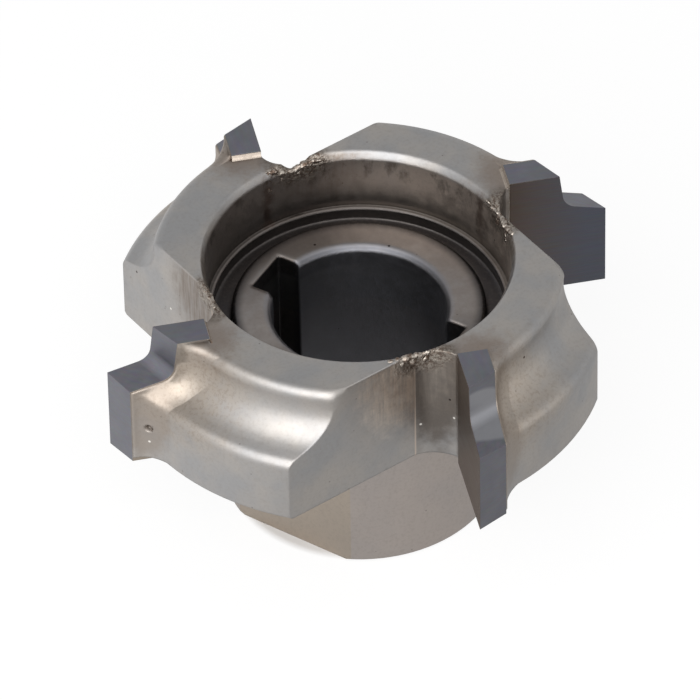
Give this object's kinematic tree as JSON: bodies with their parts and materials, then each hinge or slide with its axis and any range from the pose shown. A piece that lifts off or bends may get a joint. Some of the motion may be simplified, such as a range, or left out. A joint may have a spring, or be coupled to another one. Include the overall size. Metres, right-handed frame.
{
  "type": "edge banding cutter head",
  "caption": "Brazed profile cutter head with a flanged steel body, keyed bore, stepped recess and carbide tips shaped to trim and round edge banding.",
  "frame": {"origin": "centre of the bore in the plane of the hub's underside", "axes": "+Z along the bore axis from the hub up to the recess; +X along the radial line of the first tooth"},
  "size_m": [0.0608, 0.0608, 0.0331],
  "materials": {
    "blasted_steel": "fine blasted and nickelled tool steel, warm grey, satin, with straw to brown heat tint by the tips",
    "carbide": "ground tungsten carbide, dark blue grey, fine satin",
    "braze_alloy": "silver solder as it ran, pale yellow grey with brown edges"
  },
  "bodies": {
    "root": {"steel_body": "blasted_steel", "carbide_tip_1": "carbide", "carbide_tip_2": "carbide", "carbide_tip_3": "carbide", "carbide_tip_4": "carbide", "braze_joint_1": "braze_alloy", "braze_joint_2": "braze_alloy", "braze_joint_3": "braze_alloy", "braze_joint_4": "braze_alloy"}
  },
  "joints": []
}
